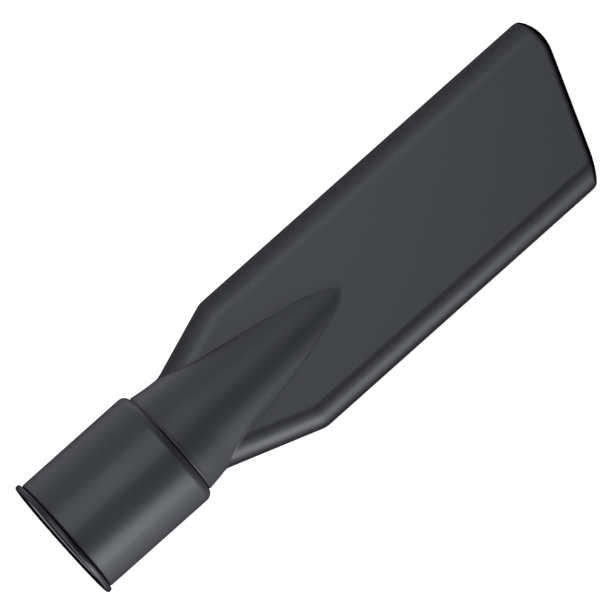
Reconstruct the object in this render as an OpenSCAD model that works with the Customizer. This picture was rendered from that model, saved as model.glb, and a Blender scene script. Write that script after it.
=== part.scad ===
// Flat crevice nozzle for a vacuum cleaner's tube.
// X runs along the swivel axis from the socket to the mouth, Y across the blade, Z through it.
// The origin is on the axis, where the socket's wall begins.

/* [Socket and cuff] */
// Bore of the socket that slides over the tube
socket_d = 35; // [29:0.1:44]
// Depth that the tube goes in before it meets the stop
socket_depth = 33; // [24:0.5:50]
// Wall of the cuff round the socket
cuff_wall = 2.5; // [2.1:0.1:3.5]
// Length of the cuff past the tube stop, where it holds the swivel
swivel_l = 9.3; // [8:0.1:14]
// Radius of the cuff's rounded shoulder
shoulder_r = 2.7; // [2.1:0.1:4]
// How far the shoulder drops from the cuff's wall to the neck
shoulder_drop = 2; // [1.5:0.1:2]
// Height of the tube stop's step inside the cuff
stop_step = 0.5; // [0.4:0.1:1]

/* [Rim ring and socket seal] */
// How far the rim ring stands out past the cuff's wall
rim_proud = 1.05; // [0.5:0.05:3]
// Length of the rim ring's bead
rim_l = 1.8; // [1.7:0.1:4]
// Width of the groove between the rim ring and the cuff
rim_groove = 0.6; // [0.3:0.1:1.5]
// Thickness of the socket seal's flange, which the rim ring traps
seal_flange = 0.8; // [0.5:0.1:0.8]
// Length of the socket seal inside the cuff
seal_l = 3; // [2:0.5:6]
// Wall of the socket seal
seal_wall = 0.9; // [0.6:0.1:1.1]

/* [Swivel] */
// How far the snap ring stands out past the spigot, which is how much it holds the cuff by
snap_grip = 1; // [0.8:0.1:1.5]
// Depth of the snap ring's groove in the spigot
snap_depth = 1.3; // [0.8:0.1:1.5]
// Thickness of the snap ring
snap_t = 1; // [0.8:0.1:1.5]
// Width of the opening in the snap ring
snap_opening = 5; // [3:0.5:10]
// Thickness of the glide washer
washer_t = 0.7; // [0.4:0.1:1.2]
// Wall of the spigot
spigot_wall = 2.4; // [2.3:0.1:3.5]
// Radial clearance of the spigot in the cuff
swivel_fit = 0.06; // [0.05:0.01:0.1]
// Thickness of the neck seal's round section
ring_section = 1.4; // [1:0.1:1.7]
// Width of the gap between the cuff and the neck
swivel_gap = 0.5; // [0.3:0.1:1.5]
// Depth of that gap, down to the thrust collar
gap_depth = 1; // [0.5:0.1:1.5]

/* [Neck cone] */
// Length of the cone, from the swivel gap to its tip on the blade's face
cone_l = 68; // [50:0.1:90]
// Width of the cone where its tip meets the blade's face
cone_tip_w = 17; // [12:0.1:24]

/* [Blade] */
// Width of the blade
blade_w = 52.9; // [44:0.1:70]
// Thickness of the blade, which is also the diameter of its round edges
blade_t = 15; // [12:0.5:18]
// How far the blade's middle lies off the axis, towards its short side
blade_shift = 1.05; // [0:0.05:3]
// Distance from the swivel gap to where the long side's shoulder leaves the cone
long_start = 9.2; // [6:0.1:16]
// Distance from the swivel gap to where the short side's shoulder leaves the cone
short_start = 7.8; // [6:0.1:16]
// Angle of the shoulders to the axis
shoulder_angle = 19.25; // [15:0.25:30]
// Wall of the shells
shell_wall = 2; // [1.6:0.1:2.4]
// Height of the tongues that locate one shell in the other
tongue_h = 1; // [0.6:0.1:1.5]
// Thickness of those tongues
tongue_t = 0.9; // [0.6:0.1:1.1]

/* [Mouth] */
// Length from the swivel gap to the tip of the mouth on the long side
mouth_l = 164.1; // [130:0.1:220]
// Slant of the mouth
mouth_angle = 20.9; // [0:0.1:30]
// Radius of the mouth's round corner on the long side
long_round = 14.1; // [8:0.1:20]
// Radius of the mouth's slight curve on the short side
short_round = 45; // [40:1:90]
// Width of that slight curve
short_curve_w = 10; // [4:0.5:12]

/* [Hidden] */
$fn = 96;

hull_fn = 32;          // steps round a hull's child
arc_steps = 14;        // straight steps along a curved stretch of the mouth
shoulder_steps = 8;    // straight steps along the cuff's shoulder
cut = 0.01;            // overlap of two solids that are joined, or overshoot of a cut
edge_round = 0.3;      // small bevel on turned edges
slide_play = 0.05;     // end play between the swivel's flat faces
turn_room = 0.3;       // room round a piece that turns in the cuff
seal_play = 0.04;      // room between the neck seal and the cuff
groove_play = 0.2;     // extra width of the neck seal's groove
tube_room = 0.75;      // room between the tube's end and the spigot
spigot_lip = 1.3;      // spigot left in front of the snap ring's groove
rim_land = 0.7;        // how far the cuff's end is reduced inside the rim ring
tongue_play = 0.1;     // room round the shells' tongues
tongue_root = 0.3;     // how deep the tongues are rooted in the front shell
tongue_setback = 6;    // how far the tongues end from the mouth
root_setback = 1.5;    // how far inside the cone the blade begins
tip_sink = 0.05;       // how far the cone's tip dives under the blade's face
corner_bite = 0.6;     // share of the long corner's radius that lies inside the blade's edge

// Socket end
socket_r = socket_d / 2;
chamber_r = socket_r - stop_step;
cuff_r = socket_r + cuff_wall;
cuff_l = socket_depth + swivel_l;
neck_r = cuff_r - shoulder_drop;
land_r = cuff_r - rim_land;
seal_r = socket_r + seal_wall;
seal_flange_r = land_r - slide_play;
rim_r = cuff_r + rim_proud;
rim_lip_r = seal_r + turn_room;
rim_end = rim_l / 2;                      // the bead lies half before the socket's wall
groove_end = rim_end + rim_groove;
shoulder_turn = acos(1 - shoulder_drop / shoulder_r);
shoulder_x = cuff_l - shoulder_r * sin(shoulder_turn);

// Swivel, from the gap back into the cuff
spigot_r = chamber_r - turn_room - snap_grip;
spigot_bore_r = spigot_r - spigot_wall;
cuff_hole_r = spigot_r + swivel_fit;
neck_x = cuff_l + swivel_gap;
collar_x = cuff_l + slide_play;
collar_r = neck_r - gap_depth;
spigot_end = socket_depth + tube_room;
snap_x = spigot_end + spigot_lip;
snap_r = spigot_r + snap_grip;
snap_floor_r = spigot_r - snap_depth;
washer_x = snap_x + snap_t + slide_play;
washer_r = chamber_r - slide_play;
washer_bore_r = spigot_r + turn_room;
inner_face = washer_x + washer_t;         // inner face of the wall that the spigot passes
ring_r = cuff_hole_r - seal_play;
ring_floor_r = ring_r - ring_section;
ring_groove_w = ring_section + groove_play;
ring_x = (inner_face + cuff_l) / 2;

// Blade
edge_r = blade_t / 2;
long_y = blade_w / 2 - blade_shift;
short_y = -blade_w / 2 - blade_shift;
cone_end = neck_x + cone_l;
cone_slope = (neck_r - cone_tip_w / 2) / cone_l;
mouth_x = neck_x + mouth_l;
blade_far = mouth_x + blade_t;            // the uncut blade runs past the mouth
blade_root = neck_x + root_setback + edge_r;

// Mouth outline: an arc at the long corner, the slant, and a slight curve at the short corner
long_centre = [mouth_x - long_round, long_y - corner_bite * long_round];
slant = [-sin(mouth_angle), -cos(mouth_angle)];
slant_normal = [cos(mouth_angle), -sin(mouth_angle)];
slant_start = long_centre + long_round * slant_normal;
slant_l = (slant_start[1] - short_y - short_curve_w) / cos(mouth_angle);
short_centre = slant_start + slant_l * slant - short_round * slant_normal;
short_end_angle = asin(sin(mouth_angle) + (short_curve_w + 1) / short_round);
short_tip_x = short_centre[0] + short_round * cos(short_end_angle);

function arc(centre, r, from, to) =
    [for (i = [0 : arc_steps]) let (a = from + (to - from) * i / arc_steps)
        centre + r * [cos(a), sin(a)]];

// Distance along X from the gap to a shoulder's corner, where the blade has its full width
function corner_d(start, half_w) =
    start + (half_w - neck_r + cone_slope * start) / tan(shoulder_angle);

// Turns a profile of [x, radius] points round the swivel axis
module turned(profile) {
    rotate([90, 0, 90]) rotate_extrude() polygon([for (p = profile) [p[1], p[0]]]);
}

// Sleeve with the socket, the tube stop and the hole that the spigot turns in
module cuff() {
    color([0.30, 0.30, 0.31]) turned(concat(
        [[seal_flange, seal_r], [seal_flange, land_r], [groove_end, land_r],
         [groove_end, cuff_r - edge_round], [groove_end + edge_round, cuff_r]],
        [for (i = [0 : shoulder_steps]) let (a = shoulder_turn * i / shoulder_steps)
            [shoulder_x + shoulder_r * sin(a), cuff_r - shoulder_r * (1 - cos(a))]],
        [[cuff_l, cuff_hole_r], [inner_face, cuff_hole_r], [inner_face, chamber_r],
         [socket_depth, chamber_r], [socket_depth, socket_r],
         [seal_l, socket_r], [seal_l, seal_r]]));
}

// Bead on the cuff's end, with a lip that traps the socket seal
module rim_ring() {
    bevel = 1.5 * edge_round;
    color([0.17, 0.17, 0.18]) turned([
        [-rim_end, rim_lip_r], [-rim_end, rim_r - bevel], [-rim_end + bevel, rim_r],
        [rim_end - bevel, rim_r], [rim_end, rim_r - bevel], [rim_end, land_r],
        [0, land_r], [0, rim_lip_r]]);
}

// Soft ring inside the socket's mouth that grips the tube
module socket_seal() {
    color([0.08, 0.08, 0.08]) turned([
        [0, socket_r], [0, seal_flange_r], [seal_flange, seal_flange_r],
        [seal_flange, seal_r], [seal_l, seal_r], [seal_l, socket_r]]);
}

// Slippery washer between the cuff's inner face and the snap ring
module glide_washer() {
    color([0.85, 0.85, 0.82]) turned([
        [washer_x, washer_bore_r], [washer_x, washer_r],
        [inner_face, washer_r], [inner_face, washer_bore_r]]);
}

// Open spring ring in the spigot's groove that holds the cuff on
module snap_ring() {
    color([0.62, 0.62, 0.64]) difference() {
        turned([[snap_x, snap_floor_r], [snap_x, snap_r],
                [snap_x + snap_t, snap_r], [snap_x + snap_t, snap_floor_r]]);
        translate([snap_x - snap_t, -snap_opening / 2, -2 * snap_r])
            cube([3 * snap_t, snap_opening, 2 * snap_r]);
    }
}

// Round rubber ring between the spigot and the cuff
module neck_seal() {
    color([0.06, 0.06, 0.06]) translate([ring_x, 0, 0]) rotate([90, 0, 90]) rotate_extrude()
        translate([ring_r - ring_section / 2, 0]) circle(ring_section / 2);
}

// Spigot with the snap ring's groove, the neck seal's groove and the thrust collar
module spigot() {
    snap_groove = [snap_x - slide_play, snap_x + snap_t + slide_play];
    ring_groove = [ring_x - ring_groove_w / 2, ring_x + ring_groove_w / 2];
    turned([
        [spigot_end, 0], [spigot_end, spigot_r - edge_round], [spigot_end + edge_round, spigot_r],
        [snap_groove[0], spigot_r], [snap_groove[0], snap_floor_r],
        [snap_groove[1], snap_floor_r], [snap_groove[1], spigot_r],
        [ring_groove[0], spigot_r], [ring_groove[0], ring_floor_r],
        [ring_groove[1], ring_floor_r], [ring_groove[1], spigot_r],
        [collar_x, spigot_r], [collar_x, collar_r], [neck_x + cut, collar_r], [neck_x + cut, 0]]);
}

// Cone that runs from the round neck to a flatter tip on the blade's face, set in by inset
module cone_body(inset = 0, start = neck_x) {
    hull() {
        translate([start, 0, 0]) rotate([0, 90, 0])
            cylinder(r = neck_r - inset, h = cut, $fn = 2 * hull_fn);
        translate([cone_end, 0, 0]) rotate([0, 90, 0]) linear_extrude(cut)
            scale([edge_r - inset - tip_sink, cone_tip_w / 2 - inset])
                circle(1, $fn = 2 * hull_fn);
    }
}

// Blade with round edges and sloping shoulders, set in by inset
module blade_body(inset = 0) {
    sphere_r = (edge_r - inset) / cos(180 / hull_fn);   // its facets then reach the true size
    corner_inset = edge_r * tan(shoulder_angle / 2);
    hull()
        for (side = [1, -1]) {
            start = side > 0 ? long_start : short_start;
            edge_y = side > 0 ? long_y : short_y;
            corner_x = neck_x + corner_d(start, abs(edge_y)) + corner_inset;
            centre_y = edge_y - side * edge_r;
            root_y = centre_y - side * (corner_x - blade_root) * tan(shoulder_angle);
            for (c = [[blade_root, root_y], [corner_x, centre_y], [blade_far, centre_y]])
                translate([c[0], c[1], 0]) sphere(sphere_r, $fn = hull_fn);
        }
}

// Area that the mouth's cut leaves of the blade, seen along Z
module mouth_outline() {
    polygon(concat(
        [[neck_x, blade_w]],
        arc(long_centre, long_round, 90, -mouth_angle),
        arc(short_centre, short_round, -mouth_angle, -short_end_angle),
        [[neck_x, -blade_w]]));
}

// Blade, cone and spigot with their hollow, before they are parted into two shells
module nozzle_body() {
    difference() {
        union() {
            intersection() {
                blade_body();
                translate([0, 0, -blade_t]) linear_extrude(2 * blade_t) mouth_outline();
            }
            cone_body();
            spigot();
        }
        blade_body(shell_wall);
        cone_body(shell_wall, neck_x + shell_wall);
        translate([spigot_end - 1, 0, 0]) rotate([0, 90, 0])
            cylinder(r = spigot_bore_r, h = neck_x + 2 * shell_wall - spigot_end + 1);
    }
}

// All of the nozzle on one side of the seam: side 1 is the front, side -1 the back
module half_nozzle(side) {
    intersection() {
        nozzle_body();
        translate([0, -blade_w, side > 0 ? 0 : -blade_w])
            cube([blade_far, 2 * blade_w, blade_w]);
    }
}

// Two bars along the cavity's straight edges that reach below the seam, each grown by room
module tongues(room = 0) {
    start = neck_x + corner_d(short_start, -short_y) + edge_r;
    end = short_tip_x - tongue_setback;
    for (side = [1, -1]) {
        cavity_y = (side > 0 ? long_y : short_y) - side * shell_wall;
        middle_y = cavity_y + side * tongue_t / 2;
        translate([start - room, middle_y - tongue_t / 2 - room, -tongue_h - room])
            cube([end - start + 2 * room, tongue_t + 2 * room, tongue_h + tongue_root + room]);
    }
}

// Moulded half that faces up, with the tongues
module front_shell() {
    color([0.27, 0.27, 0.28]) union() {
        half_nozzle(1);
        tongues();
    }
}

// Moulded half that faces down, with grooves for the tongues
module back_shell() {
    color([0.25, 0.25, 0.26]) difference() {
        half_nozzle(-1);
        tongues(tongue_play);
    }
}

cuff();
rim_ring();
socket_seal();
glide_washer();
snap_ring();
neck_seal();
front_shell();
back_shell();
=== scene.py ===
import cmath
from math import cos, hypot, pi, radians, sin, tan

import bmesh
import bpy
import numpy as np
from mathutils import Matrix, Vector


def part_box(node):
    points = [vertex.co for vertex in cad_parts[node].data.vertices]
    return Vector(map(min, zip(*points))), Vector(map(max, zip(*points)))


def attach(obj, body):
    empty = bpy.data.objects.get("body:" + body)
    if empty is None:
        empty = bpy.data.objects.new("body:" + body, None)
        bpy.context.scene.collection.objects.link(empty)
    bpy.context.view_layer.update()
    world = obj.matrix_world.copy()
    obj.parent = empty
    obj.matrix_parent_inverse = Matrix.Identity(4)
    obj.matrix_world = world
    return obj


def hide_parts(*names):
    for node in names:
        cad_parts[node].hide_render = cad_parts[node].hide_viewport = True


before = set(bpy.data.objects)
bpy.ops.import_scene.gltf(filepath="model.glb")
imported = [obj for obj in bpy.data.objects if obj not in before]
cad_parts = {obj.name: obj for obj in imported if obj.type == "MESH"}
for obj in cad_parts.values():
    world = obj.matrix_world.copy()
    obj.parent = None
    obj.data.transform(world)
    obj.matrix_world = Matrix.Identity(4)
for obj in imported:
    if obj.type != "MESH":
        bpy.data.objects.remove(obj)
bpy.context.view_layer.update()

# ---- Cuff ----
# The sleeve that goes over the vacuum cleaner's tube. It is injection moulded in dark grey ABS with
# a satin skin: a straight wall, a rounded shoulder, and a thinner hole at the end for the spigot.
mm = 0.001
cuff_low, cuff_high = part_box("cuff")
cuff_r, cuff_end = cuff_high.y / mm, cuff_high.x / mm
socket_r, stop_x, chamber_r = 17.5, 33.0, 17.0               # the tube's bore, its stop and the room behind
land_r, land_x = cuff_r - 0.7, 0.9                           # the reduced end that the rim ring sits on
seal_seat_r, seal_seat_x = socket_r + 0.9, 3.0
groove_depth = 0.3                                           # the groove behind the rim ring, painted black as shade
bevel_x, bevel_depth, bevel_l = 1.15, 0.25, 0.45             # the wall's front bevel, behind the groove
wall_middle = 20.0
shoulder_r, shoulder_turn = 2.7, radians(75)
end_face_r, hole_r, inner_face = 17.88, 15.76, 36.8
cuff_grey = (0.0289, 0.0296, 0.0335)
painted_shade_grey = (0.0015, 0.0015, 0.0016)


def rounded(corners, steps=4):
    """A closed outline of points x + radius j, in metres, from corners (x, radius, rounding) in mm."""
    points = []
    for i, (x, r, rounding) in enumerate(corners):
        corner = complex(x, r)
        if not rounding:
            points.append(corner * mm)
            continue
        back = complex(*corners[i - 1][:2]) - corner
        ahead = complex(*corners[(i + 1) % len(corners)][:2]) - corner
        back, ahead = back / abs(back), ahead / abs(ahead)
        half = abs(cmath.phase(ahead / back)) / 2
        reach = rounding / tan(half)
        middle = corner + (back + ahead) / abs(back + ahead) * rounding / sin(half)
        spoke = corner + back * reach - middle
        turn = cmath.phase((corner + ahead * reach - middle) / spoke)
        points.append((corner + back * reach * 1.3) * mm)
        points += [(middle + spoke * cmath.exp(1j * turn * k / steps)) * mm for k in range(steps + 1)]
        points.append((corner + ahead * reach * 1.3) * mm)
    return points


def finish_mesh(name, points, faces, crease=radians(32)):
    """An object from points and faces, with its normals outward and its creases sharp."""
    mesh = bpy.data.meshes.new(name)
    mesh.from_pydata([tuple(p) for p in points], [], faces)
    shape = bmesh.new()
    shape.from_mesh(mesh)
    bmesh.ops.recalc_face_normals(shape, faces=shape.faces)
    shape.to_mesh(mesh)
    shape.free()
    mesh.polygons.foreach_set("use_smooth", [True] * len(mesh.polygons))
    mesh.set_sharp_from_angle(angle=crease)
    piece = bpy.data.objects.new(name, mesh)
    bpy.context.scene.collection.objects.link(piece)
    return piece


def turned(name, outline, steps=192, opening=0.0):
    """A ring turned round the swivel axis from a closed outline, cut open at the bottom by an angle."""
    count = len(outline)
    spokes = steps if not opening else steps + 1
    points, faces = [], []
    for k in range(spokes):
        angle = -pi / 2 + opening / 2 + (2 * pi - opening) * k / steps
        points += [(p.real, p.imag * cos(angle), p.imag * sin(angle)) for p in outline]
    for k in range(steps):
        here, there = k * count, (k + 1) % spokes * count
        faces += [(here + i, here + (i + 1) % count, there + (i + 1) % count, there + i)
                  for i in range(count)]
    if opening:
        faces += [tuple(range(count))[::-1], tuple(range(steps * count, spokes * count))]
    return finish_mesh(name, points, faces)


class Signal:
    """The output of a shader node, which sums and products in plain Python turn into Math nodes."""

    def __init__(self, tree, socket=None):
        self.tree, self.socket = tree, socket

    def node(self, kind, settings=None, sockets=None, out=0):
        made = self.tree.nodes.new(kind)
        for key, value in (settings or {}).items():
            setattr(made, key, value)
        for key, value in (sockets or {}).items():
            if isinstance(value, Signal):
                self.tree.links.new(value.socket, made.inputs[key])
            else:
                made.inputs[key].default_value = value
        return Signal(self.tree, made.outputs[out])

    def math(self, operation, *values):
        return self.node("ShaderNodeMath", {"operation": operation}, dict(enumerate(values)))

    def __add__(self, other):
        return self.math("ADD", self, other)

    def __sub__(self, other):
        return self.math("SUBTRACT", self, other)

    def __rsub__(self, other):
        return self.math("SUBTRACT", other, self)

    def __mul__(self, other):
        return self.math("MULTIPLY", self, other)

    def __truediv__(self, other):
        return self.math("DIVIDE", self, other)

    __radd__, __rmul__ = __add__, __mul__

    def fade(self, low, high):
        """0 below low, 1 above high, and a smooth rise between them."""
        return self.node("ShaderNodeMapRange", {"interpolation_type": "SMOOTHSTEP"},
                         {"Value": self, "From Min": low, "From Max": high})

    def between(self, first, second):
        """The first colour where this is 0, the second where it is 1."""
        first, second = (c if isinstance(c, Signal) else (*c, 1) for c in (first, second))
        return self.node("ShaderNodeMix", {"data_type": "RGBA"}, {0: self, 6: first, 7: second}, out=2)


def finish_material(name, **constants):
    """A material with one Principled shader, and the place on the piece, in metres, to vary it by."""
    material = bpy.data.materials.new(name)
    material.use_nodes = True
    tree = material.node_tree
    shader = tree.nodes["Principled BSDF"]
    for key, value in constants.items():
        shader.inputs[key.replace("_", " ")].default_value = value
    place = Signal(tree).node("ShaderNodeTexCoord", out="Object")

    def connect(**links):
        for key, signal in links.items():
            tree.links.new(signal.socket, shader.inputs[key.replace("_", " ")])

    return material, place, connect


def clouds(place, size, detail=2.0, roughness=0.5):
    """Soft noise from 0 to 1 whose lumps are about as big as size, in metres."""
    return place.node("ShaderNodeTexNoise", None,
                      {"Vector": place, "Scale": 1 / size, "Detail": detail, "Roughness": roughness})


def stretched(place, scale):
    """The place with its axes scaled, so that clouds are longest along the least scaled axis."""
    return place.node("ShaderNodeVectorMath", {"operation": "MULTIPLY"}, {0: place, 1: scale})


def shaded(grey, shade):
    """The grey times a shade between 0.5 and 1.5."""
    return (shade - 0.5).between(tuple(c * 0.5 for c in grey), tuple(c * 1.5 for c in grey))


def relief(height, depth, strength=1.0):
    """A bump whose height from 0 to 1 stands for a depth in metres."""
    return height.node("ShaderNodeBump", None, {"Strength": strength, "Distance": depth, "Height": height})


def moulded_plastic(name, grey, gloss=0.36, grain=0.000012, specular=0.5):
    """Moulded plastic: spark-eroded grain, faint flow streaks and a slow variation of shade and gloss."""
    material, place, connect = finish_material(name, IOR=1.5, Specular_IOR_Level=specular)
    fine = clouds(place, 0.00035, 3.0, 0.6)
    slow = clouds(place, 0.035)
    streaks = clouds(stretched(place, (0.25, 1, 1)), 0.008)
    shade = 0.85 + 0.12 * slow + 0.05 * streaks + 0.10 * fine.fade(0.3, 0.7)
    connect(Base_Color=shaded(grey, shade), Roughness=gloss - 0.03 + 0.06 * slow + 0.05 * (fine - 0.5),
            Normal=relief(fine, grain))
    return material


def paint(piece, material, chosen):
    """Gives another material to the faces whose middle, as x and radius in millimetres, is chosen."""
    piece.data.materials.append(material)
    for face in piece.data.polygons:
        if chosen(face.center.x / mm, hypot(face.center.y, face.center.z) / mm):
            face.material_index = len(piece.data.materials) - 1


shoulder = [(cuff_end - shoulder_r * (sin(shoulder_turn) - sin(a)), cuff_r - shoulder_r * (1 - cos(a)), 0)
            for a in np.linspace(0, shoulder_turn * 0.97, 12)]
cuff = turned("tube_cuff", rounded(
    [(cuff_low.x / mm, land_r, 0), (land_x, land_r, 0), (land_x, cuff_r - groove_depth, 0),
     (bevel_x, cuff_r - groove_depth, 0), (bevel_x, cuff_r - bevel_depth, 0.02),
     (bevel_x + bevel_l, cuff_r, 0.15), (wall_middle, cuff_r, 0)]
    + shoulder
    + [(cuff_end, end_face_r, 0.06), (cuff_end, hole_r, 0.15), (inner_face, hole_r, 0.1),
       (inner_face, chamber_r, 0), (stop_x, chamber_r, 0.12), (stop_x, socket_r, 0),
       (seal_seat_x, socket_r, 0.05), (seal_seat_x, seal_seat_r, 0), (cuff_low.x / mm, seal_seat_r, 0.05)]))
cuff.data.materials.append(moulded_plastic("cuff satin plastic", cuff_grey))
# A near-black, barely reflecting plastic painted where there is only shade: the groove behind the rim ring
# here, and the rim ring's inside and back
painted_shade_black = moulded_plastic("painted shade black plastic", painted_shade_grey, 0.8, specular=0.03)
# The groove behind the rim ring is painted near-black as shade
paint(cuff, painted_shade_black, lambda x, r: x < bevel_x + 0.01 and land_r < r < cuff_r - 0.2)
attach(cuff, "cuff")
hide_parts("cuff")

# ---- Socket seal ----
# A soft ring of black thermoplastic rubber that grips the tube. Its flange is trapped between the
# cuff's end and the rim ring, and its body lies in a seat inside the cuff.
seal_low, seal_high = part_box("socket_seal")
flange_x, flange_r = 0.8, seal_high.y / mm
lip_x, lip_bevel_x, lip_bevel_r = -0.15, 0.38, 0.45          # the lip's bevelled front edge, where a paler band is painted as a highlight
# The socket seal's black rubber is deepened to near-black as painted shade, and the band on its lip is a
# painted highlight
rubber_and_shade_black, painted_highlight_grey = (0.002, 0.002, 0.002), (0.16, 0.16, 0.165)


def soft_rubber(name, grey, gloss, specular=0.4, highlight_band=None):
    """Matt black rubber with a dusty bloom and fine mould texture, and a paler band between two x that is a
    painted highlight.
    """
    material, place, connect = finish_material(name, IOR=1.45, Specular_IOR_Level=specular)
    fine = clouds(place, 0.00025, 3.0, 0.65)
    bloom = clouds(place, 0.004, 4.0, 0.6).fade(0.45, 0.75)
    colour = bloom.between(grey, tuple(c * 1.8 for c in grey))
    if highlight_band:
        start, end, pale = highlight_band
        x = place.node("ShaderNodeSeparateXYZ", None, {0: place})
        band = x.fade(start - 0.0001, start) * (1 - x.fade(end, end + 0.0001))
        colour = (band * (0.7 + 0.6 * fine)).between(colour, pale)
    connect(Base_Color=colour, Roughness=gloss + 0.10 * bloom + 0.06 * (fine - 0.5),
            Normal=relief(fine, 0.000015))
    return material


seal = turned("socket_lip_seal", rounded(
    [(seal_low.x / mm, flange_r, 0.15), (flange_x, flange_r, 0.15), (flange_x, seal_seat_r, 0),
     (seal_high.x / mm, seal_seat_r, 0.1), (seal_high.x / mm, socket_r, 0.3),
     (lip_x + lip_bevel_x, socket_r, 0.08), (lip_x, socket_r + lip_bevel_r, 0.08),
     (seal_low.x / mm, socket_r + 0.6, 0.02)]))
# Near-black rubber as painted shade, with a painted highlight band on the lip's front edge
seal.data.materials.append(soft_rubber("socket seal rubber", rubber_and_shade_black, 0.4, 0.1,
                                       (lip_x * mm, (lip_x + 0.3) * mm, painted_highlight_grey)))
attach(seal, "cuff")
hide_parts("socket_seal")

# ---- Rim ring ----
# A near-black moulded bead snapped and glued on the cuff's end. Its lip holds the socket seal in,
# and its round outer edge is the first thing to rub on the tube.
rim_low, rim_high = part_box("rim_ring")
rim_r, rim_lip_r = rim_high.y / mm, 18.7
inside_r, behind_x = 19.1, 0.7                               # painted black as shade inside and behind these
rim_black = (0.009, 0.009, 0.010)
rim = turned("end_rim", rounded(
    [(rim_low.x / mm, rim_lip_r, 0.25), (rim_low.x / mm, rim_r, 0.75), (rim_high.x / mm, rim_r, 0.75),
     (rim_high.x / mm, land_r, 0.05), (0, land_r, 0), (0, rim_lip_r, 0.1)], steps=8))
rim.data.materials.append(moulded_plastic("rim black plastic", rim_black, 0.3, 0.000006))
# The rim ring's inside and its back rounding are painted near-black as shade
paint(rim, painted_shade_black, lambda x, r: r < inside_r or x > behind_x)
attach(rim, "cuff")
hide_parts("rim_ring")

# ---- Glide washer ----
# A flat ring punched from white acetal sheet. It lies loose on the cuff's inner face, and the snap
# ring slides on it as the nozzle turns.
washer_low, washer_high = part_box("glide_washer")
washer_bore, washer_r = 16.0, washer_high.y / mm
clean_acetal, dusty_acetal = (0.72, 0.71, 0.66), (0.58, 0.57, 0.53)
washer = turned("swivel_washer", rounded(
    [(washer_low.x / mm, washer_bore, 0.06), (washer_low.x / mm, washer_r, 0.12),
     (washer_high.x / mm, washer_r, 0.06), (washer_high.x / mm, washer_bore, 0.06)]))
material, place, connect = finish_material("washer acetal", Subsurface_Weight=0.05, IOR=1.48)
turning = place.node("ShaderNodeTexWave", {"wave_type": "RINGS", "rings_direction": "X"},
                     {"Vector": place, "Scale": 900.0, "Distortion": 1.5, "Detail": 2.0})
dust = clouds(place, 0.003, 3.0)
connect(Base_Color=dust.fade(0.4, 0.8).between(clean_acetal, dusty_acetal),
        Roughness=0.32 + 0.15 * dust, Normal=relief(turning, 0.00001, 0.6))
washer.data.materials.append(material)
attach(washer, "cuff")
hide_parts("glide_washer")

# ---- Nozzle halves ----
# Two injection-moulded halves in dark grey ABS, welded along the middle of the round edges. Together
# they make the spigot, the neck cone that sinks into the flat blade, and the slanted mouth.
half_low, half_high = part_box("front_shell")
neck_x, neck_r = cuff_end + 0.5, half_high.z / mm
neck_face, collar_depth = cuff_end + 0.3, 0.25               # the gap behind the cuff ends at the face
spigot_end, spigot_r, bore_r = half_low.x / mm, 15.7, 13.3
snap_low, snap_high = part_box("snap_ring")
ring_low, ring_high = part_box("neck_seal")
snap_seat_r, snap_play = 14.4, 0.05                          # the spigot's groove for the snap ring
ring_seat_r, ring_play = 14.32, 0.1                          # and the one for the neck seal
long_y, short_y, mouth_x = half_high.y / mm, half_low.y / mm, half_high.x / mm
edge_r, wall = 7.5, 2.0
cone_l, tip_r, tip_sink = 68.0, 8.5, 0.05
neck_drift, tip_drift = 0.45, 0.45                           # how far the cone lies towards the long side
shoulder_angle = radians(19.25)
short_root, long_root, root_gap = 7.8, 9.2, 1.5              # where the shoulders leave the neck
crease_blend, shoulder_blend, blend_height = 0.22, 0.6, 5    # how softly the cone joins the blade
straight_x = 150                                             # the blade's section is the same from here on
lip_l, inner_lip_l = 2.5, 1.0
weld_line = 0.10
columns = 145
# The second colour is a near-black painted as shade on the mouth's lip, in the gap and on the round edges
nozzle_satin, shade_black = (0.0335, 0.0341, 0.0382), (0.0012, 0.0012, 0.0013)


def core_corners(side, edge_y, start):
    """Three middle points of the blade's round edge on one side: root, shoulder and far end."""
    taper, slope = (neck_r - tip_r) / cone_l, tan(shoulder_angle)
    shoulder_x = neck_x + start + (abs(edge_y) - neck_r + taper * start) / slope
    shoulder_x += edge_r * tan(shoulder_angle / 2)
    middle_y = edge_y - side * edge_r
    root_x = neck_x + root_gap + edge_r
    past_mouth = mouth_x + 20
    return [(root_x, middle_y - side * (shoulder_x - root_x) * slope), (shoulder_x, middle_y),
            (past_mouth, middle_y)]


core = core_corners(-1, short_y, short_root) + core_corners(1, long_y, long_root)[::-1]


def core_gap(x, y):
    """Distance from a place in the blade's middle plane to the flat core between its round edges."""
    inside, gap = np.full(np.shape(x), True), np.full(np.shape(x), np.inf)
    for (x0, y0), (x1, y1) in zip(core, core[1:] + core[:1]):
        run_x, run_y = x1 - x0, y1 - y0
        along = np.clip(((x - x0) * run_x + (y - y0) * run_y) / (run_x ** 2 + run_y ** 2), 0, 1)
        gap = np.minimum(gap, np.hypot(x - x0 - along * run_x, y - y0 - along * run_y))
        inside &= run_x * (y - y0) - run_y * (x - x0) >= 0
    return np.where(inside, 0, gap)


def eased(value, low, high):
    """0 below low, 1 above high, and a smooth rise between them."""
    share = np.clip((value - low) / (high - low), 0, 1)
    return share * share * (3 - 2 * share)


def blade_and_cone(x, y, z):
    """How far a place lies outside the blade and outside the cone, and how far their joint reaches."""
    blade = np.hypot(core_gap(x, y), z) - edge_r
    share = np.minimum((x - neck_x) / cone_l, 1.3)
    drift = neck_drift * eased(share, 0.05, 0.2) + tip_drift * eased(share, 0.66, 0.9)
    wide = neck_r + (tip_r - neck_r) * share
    high = neck_r + (edge_r - tip_sink - neck_r) * share
    cone = (np.hypot((y - drift) / wide, z / high) - 1) * np.minimum(wide, high)
    blend = shoulder_blend + (crease_blend - shoulder_blend) * np.clip(z / blend_height, 0, 1)
    return blade, cone, blend


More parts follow.
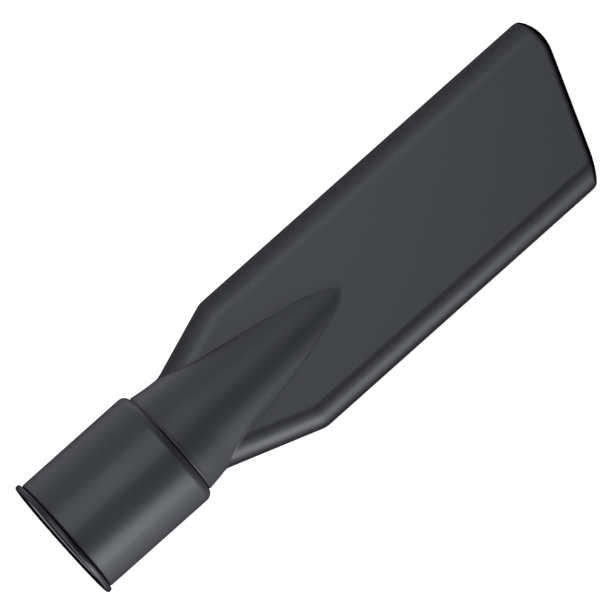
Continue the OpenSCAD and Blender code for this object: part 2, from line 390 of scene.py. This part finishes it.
def depth(x, y, z):
    """How far a place lies outside the nozzle's skin: the blade and the cone, softly joined."""
    blade, cone, blend = blade_and_cone(x, y, z)
    shared = np.maximum(blend - abs(blade - cone), 0)
    return np.minimum(blade, cone) - shared ** 2 / (4 * blend)


def sections(xs, rays=601, farthest=40.0, halvings=28, window=17):
    """The skin's half section in mm at each x: places from the long side to the short, closer in bends."""
    angle = np.linspace(0, pi, rays)[None, :]
    x = np.array(xs)[:, None] + 0 * angle
    near, far = np.zeros_like(x), np.full_like(x, farthest)
    for _ in range(halvings):
        middle = (near + far) / 2
        outside = depth(x, middle * np.cos(angle), middle * np.sin(angle)) > 0
        near, far = np.where(outside, near, middle), np.where(outside, middle, far)
    y, z = near * np.cos(angle), near * np.sin(angle)
    found = []
    for row_y, row_z in zip(y, z):
        step = np.hypot(np.diff(row_y), np.diff(row_z))
        heading = np.unwrap(np.arctan2(np.diff(row_z), np.diff(row_y)))
        bend = np.gradient(heading) / step
        crowd = np.pad(0.45 + 3 * np.sqrt(abs(bend)), window // 2, mode="edge")
        crowd = np.convolve(crowd, np.ones(window) / window, mode="valid")
        tally = np.concatenate([[0], np.cumsum(crowd * step)])
        even = np.linspace(0, tally[-1], columns)
        found.append((np.interp(even, tally, row_y), np.interp(even, tally, row_z)))
    return np.array(found)


def inset(section, by):
    """A half section moved inward by a wall's thickness."""
    run = np.gradient(section, axis=1)
    run /= np.hypot(*run)
    moved = section + by * np.array([-run[1], run[0]])
    moved[1, 0] = moved[1, -1] = 0
    moved[0, 0], moved[0, -1] = section[0, 0] - by, section[0, -1] + by
    return moved


def mouth_edge(y):
    """x of the mouth's edge: a round long corner, the slant, and a slight curve at the short corner."""
    slant, long_round, short_round, short_corner = radians(20.9), 14.1, 45.0, 10
    long_middle = complex(mouth_x - long_round, long_y - 0.6 * long_round)
    top = long_middle + long_round * cmath.exp(-1j * slant)
    bottom = top - (top.imag - short_y - short_corner) * complex(tan(slant), 1)
    short_middle = bottom - short_round * cmath.exp(-1j * slant)
    on_long = long_middle.real + np.sqrt(np.maximum(long_round ** 2 - (y - long_middle.imag) ** 2, 0))
    on_short = short_middle.real + np.sqrt(np.maximum(short_round ** 2 - (y - short_middle.imag) ** 2, 0))
    on_slant = top.real + (y - top.imag) * tan(slant)
    return np.where(y > top.imag, on_long, np.where(y < bottom.imag, on_short, on_slant))


def half_circle(radius):
    angle = np.linspace(0, pi, columns)
    return np.array([radius * np.cos(angle), radius * np.sin(angle)])


# Rows of places along the nozzle: the spigot's grooves and collar, the cone and blade, the lip, and
# back inside. They lie closest where the shoulders leave the cone and where its tip sinks away.
rows = []


def add_row(x, section, lip=0.0):
    """One row: its x, its half section, and how far it is painted black as shade from 0 to 1, each one or
    many.
    """
    rows.append((np.broadcast_to(x, columns), section, np.broadcast_to(lip, columns)))


snap_from, snap_to = snap_low.x / mm - snap_play, snap_high.x / mm + snap_play
ring_from, ring_to = ring_low.x / mm - ring_play, ring_high.x / mm + ring_play
for x, r in [(spigot_end, bore_r + 0.2), (spigot_end, spigot_r - 0.3), (spigot_end + 0.3, spigot_r),
             (snap_from, spigot_r), (snap_from, snap_seat_r), (snap_to, snap_seat_r), (snap_to, spigot_r),
             (ring_from, spigot_r), (ring_from, ring_seat_r), (ring_to, ring_seat_r), (ring_to, spigot_r),
             (cuff_end + 0.05, spigot_r)]:
    add_row(x, half_circle(r))
collar = half_circle(neck_r - collar_depth)
# The collar in the gap behind the cuff is painted black as shade, fading out towards the long side
for x in (cuff_end + 0.05, neck_face):
    add_row(x, collar, np.interp(collar[0], [0, 9], [1, 0]))
for along, drop in [(0, 0.2), (0.03, 0.16), (0.08, 0.13), (0.36, 0.03), (0.45, 0)]:
    add_row(neck_face + along, half_circle(neck_r + 0.01 - drop))
body_x = np.concatenate([np.arange(start, end, step) for start, end, step in (
    (neck_x + 0.5, 49, 0.7), (49, 58, 0.35), (58, 102, 0.6), (102, 115, 0.35), (115, straight_x, 5))])
body = sections(body_x)
straight = sections([straight_x])[0]
for x, section in zip(body_x, body):
    add_row(x, section)
inner_straight = inset(straight, wall)
lip_from = mouth_edge((straight + inner_straight)[0] / 2) - lip_l
for share in np.concatenate([np.linspace(0, 0.9, 7), [0.94, 0.97, 0.985, 0.995]]):
    add_row(straight_x + (lip_from - straight_x) * share, straight)
# The mouth's lip is painted black as shade round its front, and so is the inside just behind it
for a in np.linspace(0, pi, 21):
    section = (straight + inner_straight) / 2 + (straight - inner_straight) / 2 * cos(a)
    reach = lip_l * sin(a) if a < pi / 2 else lip_l - inner_lip_l * (1 - sin(a))
    add_row(lip_from + reach, section, 1 - max(cos(a), 0) ** 2.5)
for share in [0.99, 0.97, 0.9, 0.6, 0.3, 0]:
    add_row(straight_x + (lip_from - straight_x) * share, inner_straight, max(0.0, 1 - (1 - share) * 20))
for x, section in list(zip(body_x, body))[::-2]:
    if x > neck_x + wall + 0.3:
        add_row(x, inset(section, wall))
add_row(neck_x + wall, half_circle(neck_r - wall - 0.3))
add_row(neck_x + wall, half_circle(bore_r + 0.15))
add_row(neck_x + wall - 0.15, half_circle(bore_r))
add_row(spigot_end + 0.2, half_circle(bore_r))


def nozzle_half(name, side, crease_width=0.5):
    """One welded half: side 1 faces up, side -1 faces down. Its points know their painted shade share, round
    edge and crease.
    """
    points, lip, edge, crease = [], [], [], []
    for x, (y, z), share in rows:
        y, z = y.copy(), z.copy()
        for end, step in ((0, 1), (-1, -1)):                 # the small bevel along the weld
            z[end] = 0
            z[end + step] = max(min(z[end + step], weld_line * 2), weld_line)
            y[end + step] = y[end]
            y[end] -= step * weld_line * np.sign(y[0])
        points += zip(x * mm, y * mm, side * z * mm)
        lip += list(share)
        blade, cone, _ = blade_and_cone(x, y, z)
        on_blade = (depth(x, y, z) > -wall / 2) & (blade < 0.15)
        edge += list(np.clip(core_gap(x, y) / edge_r, 0, 1) * on_blade)
        on_skin = np.minimum(blade, cone) > -0.3
        crease += list(np.clip(1 - abs(blade - cone) / crease_width, 0, 1) * on_skin)
    count = len(rows)
    faces = []
    for k in range(count):
        here, there = k * columns, (k + 1) % count * columns
        for j in range(columns - 1):
            quad = (here + j, here + j + 1, there + j + 1, there + j)
            faces.append(quad if side > 0 else quad[::-1])
    for j in (0, columns - 1):
        loop = tuple(k * columns + j for k in range(count))
        faces.append(loop if (j == 0) == (side > 0) else loop[::-1])
    piece = finish_mesh(name, points, faces)
    for key, values in (("lip", lip), ("round_edge", edge), ("crease", crease)):
        attribute = piece.data.attributes.new(key, "FLOAT", "POINT")
        attribute.data.foreach_set("value", np.array(values, dtype=np.float32))
    return piece


def nozzle_plastic(name, grey):
    """The nozzle's satin grey: grain and painted shade on the round edges, painted shade in the long side's
    crease, a painted highlight in the short side's crease, and a lip painted matt black as shade.
    """
    material, place, connect = finish_material(name, IOR=1.5, Specular_IOR_Level=0.5)
    fine = clouds(place, 0.00035, 3.0, 0.6)
    coarse = clouds(place, 0.0006, 2.0, 0.6)
    slow = clouds(place, 0.035)
    lip, edge, crease = [place.node("ShaderNodeAttribute", {"attribute_name": key}, out="Fac")
                         for key in ("lip", "round_edge", "crease")]
    long_side = place.node("ShaderNodeSeparateXYZ", None, {0: place}, out=1).fade(-0.001, 0.001)
    # Shade: random tone, with painted shade in the long side's crease and towards the round edges, and a
    # painted highlight in the short side's crease
    shade = 0.93 + 0.10 * slow + 0.06 * fine.fade(0.3, 0.7) \
        - 0.35 * crease * long_side + 0.12 * crease * (1 - long_side) \
        - 0.1 * edge.fade(0.2, 0.6) - 0.45 * edge.fade(0.55, 0.95) + 0.15 * edge * coarse.fade(0.58, 0.72)
    specks = 1.1 - 0.25 * coarse.fade(0.35, 0.65) - 0.3 * coarse.fade(0.6, 0.68)
    # Painted shade on the round edges: a wide band on the long side, and on the short side a dark outer band
    # and a narrower inner one, broken by specks
    long_edge_shade = 0.52 * edge.fade(0.42, 0.88) * (1 - 0.35 * edge.fade(0.9, 1.0)) * specks
    short_inner_shade = 0.32 * edge.fade(0.0, 0.08) * (1 - edge.fade(0.18, 0.36)) * specks
    short_outer_shade = 0.65 * edge.fade(0.7, 0.95)
    edge_shade = long_side * long_edge_shade + (1 - long_side) * (short_outer_shade + short_inner_shade)
    bump = relief(fine + edge * coarse * 3.0, 0.000012)
    connect(Base_Color=shaded(grey, shade), Roughness=0.35 + 0.06 * slow + 0.05 * (fine - 0.5), Normal=bump)
    tree = material.node_tree
    satin = Signal(tree, tree.nodes["Principled BSDF"].outputs[0])
    # A matt near-black shader mixed in where shade is painted: on the mouth's lip, the gap's collar, just
    # inside the mouth and on the round edges
    shade_shader = place.node("ShaderNodeBsdfPrincipled", None, {
        "Base Color": (*shade_black, 1), "Roughness": 0.7, "Specular IOR Level": 0.03, "Normal": bump})
    share = place.math("MAXIMUM", lip.fade(0.0, 0.5), edge_shade)
    satin_with_shade = place.node("ShaderNodeMixShader", None, {0: share, 1: satin, 2: shade_shader})
    tree.links.new(satin_with_shade.socket, tree.nodes["Material Output"].inputs["Surface"])
    return material


nozzle_grey = nozzle_plastic("nozzle satin plastic", nozzle_satin)
for name, side, node in (("upper_half", 1, "front_shell"), ("lower_half", -1, "back_shell")):
    half = nozzle_half(name, side)
    half.data.materials.append(nozzle_grey)
    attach(half, "nozzle")
    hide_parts(node)

# ---- Snap ring ----
# An open ring stamped from spring steel and tumbled. It snaps into the spigot's groove from outside
# and keeps the cuff from sliding off.
snap_r, snap_opening = snap_high.y / mm, radians(18.6)
bright_steel, tarnished_steel = (0.46, 0.46, 0.47), (0.26, 0.24, 0.22)
snap_ring = turned("spring_ring", rounded(
    [(snap_low.x / mm, snap_seat_r, 0.08), (snap_low.x / mm, snap_r, 0.12), (snap_high.x / mm, snap_r, 0.12),
     (snap_high.x / mm, snap_seat_r, 0.08)]), opening=snap_opening)
material, place, connect = finish_material("spring steel", Metallic=1.0)
scratch = clouds(stretched(place, (1, 8, 8)), 0.002, 3.0)
tarnish = clouds(place, 0.003, 3.0).fade(0.4, 0.8)
connect(Base_Color=tarnish.between(bright_steel, tarnished_steel), Roughness=0.28 + 0.2 * scratch,
        Normal=relief(scratch, 0.00001, 0.5))
snap_ring.data.materials.append(material)
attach(snap_ring, "nozzle")
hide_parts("snap_ring")

# ---- Neck seal ----
# A round nitrile rubber ring in the spigot's other groove. It keeps air from leaking in through the
# swivel and gives the turning a light drag.
ring_x, ring_half, ring_steps = (ring_low.x + ring_high.x) / 2, (ring_high.x - ring_low.x) / 2, 24
ring_middle = complex(ring_x, ring_high.y - ring_half)
nitrile_black = (0.010, 0.010, 0.010)
neck_seal = turned("spigot_seal", [
    ring_middle + ring_half * cmath.exp(-2j * pi * k / ring_steps) for k in range(ring_steps)])
neck_seal.data.materials.append(soft_rubber("neck seal rubber", nitrile_black, 0.5))
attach(neck_seal, "nozzle")
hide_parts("neck_seal")

# ---- Floor, light and camera ----
# A light table: a pale, evenly glowing floor under the nozzle. Round it stands a dim grey studio with
# soft strips and patches of light, a soft box overhead and a long one on the blade's short side.
floor_z = half_low.y                                         # clear of the blade's widest side as it turns
bpy.ops.mesh.primitive_plane_add(size=40, location=(0, 0, floor_z - 0.0001))
floor = bpy.context.object
floor.name = "pale_floor"
floor.visible_glossy = False
material, place, connect = finish_material("pale floor", Roughness=0.9, Specular_IOR_Level=0.0,
                                           Emission_Strength=0.7)
paper = clouds(place, 0.02)
connect(Base_Color=paper.between((0.90, 0.90, 0.90), (0.93, 0.93, 0.93)),
        Emission_Color=paper.between((0.99, 0.99, 0.99), (1, 1, 1)))
floor.data.materials.append(material)

scene = bpy.context.scene
scene.world = bpy.data.worlds.new("studio")
scene.world.use_nodes = True
studio = scene.world.node_tree
sky = Signal(studio).node("ShaderNodeTexCoord", out="Generated")
toward = [sky.node("ShaderNodeSeparateXYZ", None, {0: sky}, out=k) for k in range(3)]
lean = sky.math("ARCTAN2", -1 * toward[1], toward[2])        # from overhead towards the short side


def soft_glow(middle, width):
    """A glowing strip along X at a lean from overhead that fades over width, both in degrees."""
    away = (lean - radians(middle)) / radians(width)
    return sky.math("EXPONENT", away * away * -0.5)


def bright_patch(direction, width, strength):
    """A round glow in the studio that fades over width, in degrees."""
    facing = sky.node("ShaderNodeVectorMath", {"operation": "DOT_PRODUCT"},
                      {0: sky, 1: Vector(direction).normalized()}, out="Value")
    return sky.math("EXPONENT", (facing - 1) * (1 / (1 - cos(radians(width))))) * strength


cool_white = (0.96, 0.985, 1.05)
on_cone = toward[0].fade(0.12, 0.3)                          # only the cone's flanks mirror this part
long_side = 0.36 * soft_glow(-92, 26) * (1 - 0.9 * toward[0].fade(0.05, 0.2))
flank = 0.30 * soft_glow(-62, 24) * toward[0].fade(0.08, 0.25)
valley = 0.16 * soft_glow(24, 14) + 0.25 * soft_glow(30, 25) * on_cone + 0.24 * soft_glow(-4, 16) * on_cone
short_side = 0.9 * soft_glow(98, 16) * (1 - 0.5 * toward[0].fade(0.1, 0.3))
glow = 0.33 + long_side + flank + short_side - valley
glow = glow * (1 - 0.6 * toward[0].fade(0.15, 0.8)) * (1 - (-1 * toward[0]).fade(0.5, 0.95))
for direction, width, strength in [                          # towards each patch, degrees, brightness
        ((-0.75, -0.6, -0.15), 22, 4.0), ((-0.95, 0, 0.1), 22, 1.0), ((0.66, 0.45, -0.3), 30, 0.7),
        ((-0.85, 0, 0.5), 18, 3.2), ((-0.16, -0.9, 0.4), 5, 4.0), ((0.3, 0.83, -0.5), 12, 0.5)]:
    glow = glow + bright_patch(direction, width, strength)
glow = glow * toward[2].fade(-1.0, -0.6)
light = studio.nodes["Background"]
light.inputs["Color"].default_value = (*cool_white, 1)
studio.links.new(glow.socket, light.inputs["Strength"])


def soft_box(name, middle, facing, width, height, radiance):
    """A rectangular light at middle that shines towards facing, width along X, in metres."""
    lamp = bpy.data.lights.new(name, "AREA")
    lamp.shape, lamp.size, lamp.size_y = "RECTANGLE", width, height
    lamp.energy, lamp.color = radiance * pi * width * height, cool_white
    box = bpy.data.objects.new(name, lamp)
    scene.collection.objects.link(box)
    behind = (Vector(middle) - Vector(facing)).normalized()
    along = Vector((1, 0, 0))
    across = behind.cross(along).normalized()
    box.matrix_world = Matrix.Translation(middle) @ Matrix((along, across, behind)).transposed().to_4x4()
    box.visible_camera = False


soft_box("overhead_box", (0.0, 0.2, 0.5), (0.0, 0.2, 0), 0.52, 0.46, 1.42)
soft_box("side_box", (-0.25, -0.85, 0.25), (-0.25, 0, 0.2), 0.9, 0.5, 3.6)

view_lean, view_roll, view_distance, frame_width = radians(3.7), radians(41.7), 4.0, 0.1823
back = Vector((-sin(view_lean), 0, cos(view_lean)))
right = Vector((cos(view_roll) * cos(view_lean), -sin(view_roll), cos(view_roll) * sin(view_lean)))
up = back.cross(right)
camera = bpy.data.objects.new("camera", bpy.data.cameras.new("camera"))
scene.collection.objects.link(camera)
camera.data.lens = camera.data.sensor_width * view_distance / frame_width
camera.data.clip_start, camera.data.clip_end = 0.1, 100
aim = Vector((0.1004, 0.0041, 0))
turn = Matrix((right, up, back)).transposed().to_4x4()
camera.matrix_world = Matrix.Translation(aim + back * view_distance) @ turn
scene.camera = camera
scene.view_settings.view_transform = "Standard"
